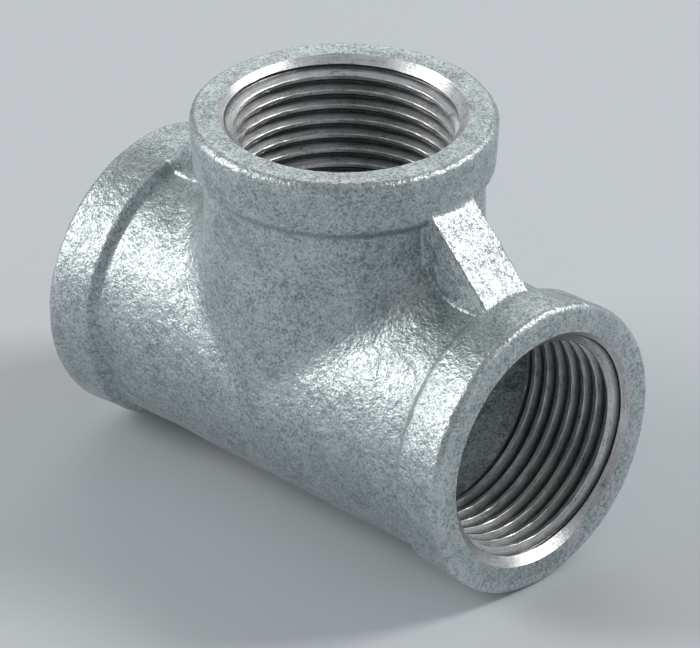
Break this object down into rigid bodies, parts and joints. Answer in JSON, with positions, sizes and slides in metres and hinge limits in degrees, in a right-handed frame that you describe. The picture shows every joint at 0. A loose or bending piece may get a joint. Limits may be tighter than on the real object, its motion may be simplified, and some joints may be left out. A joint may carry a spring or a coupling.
{
  "type": "pipe tee",
  "caption": "Equal pipe tee in galvanised malleable iron: a banded, ribbed casting with a female pipe thread in each end.",
  "frame": {"origin": "on the surface that the two run bands rest on, straight below the point where the run axis and the branch axis cross", "axes": "+Z along the branch axis, out of the branch; +X along the run axis, out of the right-hand run end; +Y to the back"},
  "size_m": [0.076, 0.0426, 0.0593],
  "materials": {
    "zinc_casting": "hot-dip galvanised, fine cast grain, satin with bright highlights",
    "cut_thread": "bare cut iron, fine turning lines, semi-bright"
  },
  "bodies": {
    "root": {"run_barrel": "zinc_casting", "branch_barrel": "zinc_casting", "crotch_right_front": "zinc_casting", "crotch_right_back": "zinc_casting", "crotch_left_front": "zinc_casting", "crotch_left_back": "zinc_casting", "rib_right": "zinc_casting", "rib_left": "zinc_casting", "run_band_right": "zinc_casting", "run_band_left": "zinc_casting", "branch_band": "zinc_casting", "run_thread_right": "cut_thread", "run_thread_left": "cut_thread", "branch_thread": "cut_thread"}
  },
  "joints": []
}
